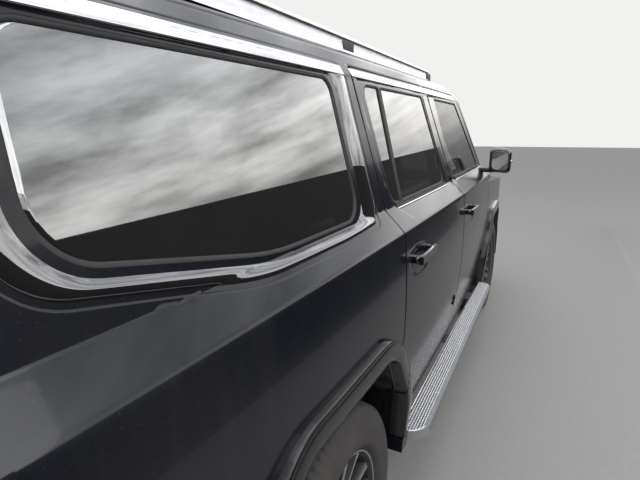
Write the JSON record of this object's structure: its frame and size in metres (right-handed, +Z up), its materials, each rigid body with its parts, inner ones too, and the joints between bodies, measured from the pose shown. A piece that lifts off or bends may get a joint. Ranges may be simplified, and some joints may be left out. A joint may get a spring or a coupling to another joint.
{
  "type": "suv",
  "caption": "Full-size four-door sport utility vehicle with separate body frame, opening doors, hood and liftgate, steered front wheels, roof rails and running boards",
  "frame": {"origin": "centre of the bounding box at ground level", "axes": "+X forward, the longest extent; +Y to the left; +Z up"},
  "size_m": [5.453, 2.324, 1.9209],
  "materials": {
    "body_paint": "gloss, near-black, dusty",
    "side_glass": "clear with a grey tint",
    "dark_glass": "dark privacy tint",
    "lamp_lens": "lens",
    "bright_metal": "bright",
    "alloy": "bright machined and painted",
    "tyre": "worn black rubber",
    "cast_metal": "dull",
    "frame_black": "satin black",
    "black_plastic": "matt black",
    "bare_alloy": "brushed",
    "seat_cloth": "woven, warm grey"
  },
  "bodies": {
    "chassis": {"bodyside_left": "body_paint", "bodyside_right": "body_paint", "quarter_windows": "dark_glass", "tail_lamps": "lamp_lens", "roof_panel": "body_paint", "windscreen": "side_glass", "fenders": "body_paint", "front_bumper": "body_paint", "nose_panel": "body_paint", "headlamps": "lamp_lens", "grille": "bright_metal", "rear_bumper": "body_paint", "hub_carriers": "cast_metal", "suspension_arms": "cast_metal", "chassis_frame": "frame_black", "floor_pan": "frame_black", "front_wheel_liners": "black_plastic", "engine": "cast_metal", "radiator": "bare_alloy", "driveline": "cast_metal", "fuel_tank": "black_plastic", "exhaust": "bare_alloy", "running_boards": "bare_alloy", "roof_rails": "black_plastic", "front_seats": "seat_cloth", "middle_seats": "seat_cloth", "rear_bench": "seat_cloth", "dashboard": "black_plastic", "steering_wheel": "black_plastic", "tow_hitch": "frame_black"},
    "door_fl": {"door_front_left": "body_paint", "door_glass_front_left": "side_glass", "mirror_left": "black_plastic"},
    "door_fr": {"door_front_right": "body_paint", "door_glass_front_right": "side_glass", "mirror_right": "black_plastic"},
    "door_rl": {"door_rear_left": "body_paint", "door_glass_rear_left": "dark_glass"},
    "door_rr": {"door_rear_right": "body_paint", "door_glass_rear_right": "dark_glass"},
    "hood_lid": {"hood": "body_paint"},
    "gate": {"liftgate": "body_paint", "liftgate_glass": "dark_glass"},
    "steer_left": {"knuckle_left": "cast_metal"},
    "steer_right": {"knuckle_right": "cast_metal"},
    "wheel_fl": {"rim_front_left": "alloy", "tyre_front_left": "tyre"},
    "wheel_fr": {"rim_front_right": "alloy", "tyre_front_right": "tyre"},
    "wheel_rl": {"rim_rear_left": "alloy", "tyre_rear_left": "tyre"},
    "wheel_rr": {"rim_rear_right": "alloy", "tyre_rear_right": "tyre"}
  },
  "joints": [
    {"name": "door_front_left_hinge", "type": "hinge", "parent": "chassis", "child": "door_fl", "pos_m": [1.135, 0.99713, 0.895], "axis": [0, 0, -1], "range_deg": [0, 65]},
    {"name": "door_front_right_hinge", "type": "hinge", "parent": "chassis", "child": "door_fr", "pos_m": [1.135, -0.99713, 0.895], "axis": [0, 0, 1], "range_deg": [0, 65]},
    {"name": "door_rear_left_hinge", "type": "hinge", "parent": "chassis", "child": "door_rl", "pos_m": [0.058, 1.01285, 0.895], "axis": [0, 0, -1], "range_deg": [0, 65]},
    {"name": "door_rear_right_hinge", "type": "hinge", "parent": "chassis", "child": "door_rr", "pos_m": [0.058, -1.01285, 0.895], "axis": [0, 0, 1], "range_deg": [0, 65]},
    {"name": "hood_hinge", "type": "hinge", "parent": "chassis", "child": "hood_lid", "pos_m": [1.49, 0, 1.18], "axis": [0, -1, 0], "range_deg": [0, 50]},
    {"name": "liftgate_hinge", "type": "hinge", "parent": "chassis", "child": "gate", "pos_m": [-2.426, 0, 1.855], "axis": [0, 1, 0], "range_deg": [0, 80]},
    {"name": "steering_left", "type": "hinge", "parent": "chassis", "child": "steer_left", "pos_m": [1.7765, 0.8, 0.406], "axis": [0, 0, 1], "range_deg": [-30, 30]},
    {"name": "steering_right", "type": "hinge", "parent": "chassis", "child": "steer_right", "pos_m": [1.7765, -0.8, 0.406], "axis": [0, 0, 1], "range_deg": [-30, 30]},
    {"name": "wheel_front_left_axle", "type": "hinge", "parent": "steer_left", "child": "wheel_fl", "pos_m": [1.7765, 0.872, 0.406], "axis": [0, 1, 0], "continuous": true},
    {"name": "wheel_front_right_axle", "type": "hinge", "parent": "steer_right", "child": "wheel_fr", "pos_m": [1.7765, -0.872, 0.406], "axis": [0, 1, 0], "continuous": true},
    {"name": "wheel_rear_left_axle", "type": "hinge", "parent": "chassis", "child": "wheel_rl", "pos_m": [-1.3475, 0.872, 0.406], "axis": [0, 1, 0], "continuous": true},
    {"name": "wheel_rear_right_axle", "type": "hinge", "parent": "chassis", "child": "wheel_rr", "pos_m": [-1.3475, -0.872, 0.406], "axis": [0, 1, 0], "continuous": true}
  ],
  "couplings": [
    {"joint": "steering_right", "follows": "steering_left", "ratio": 1}
  ]
}
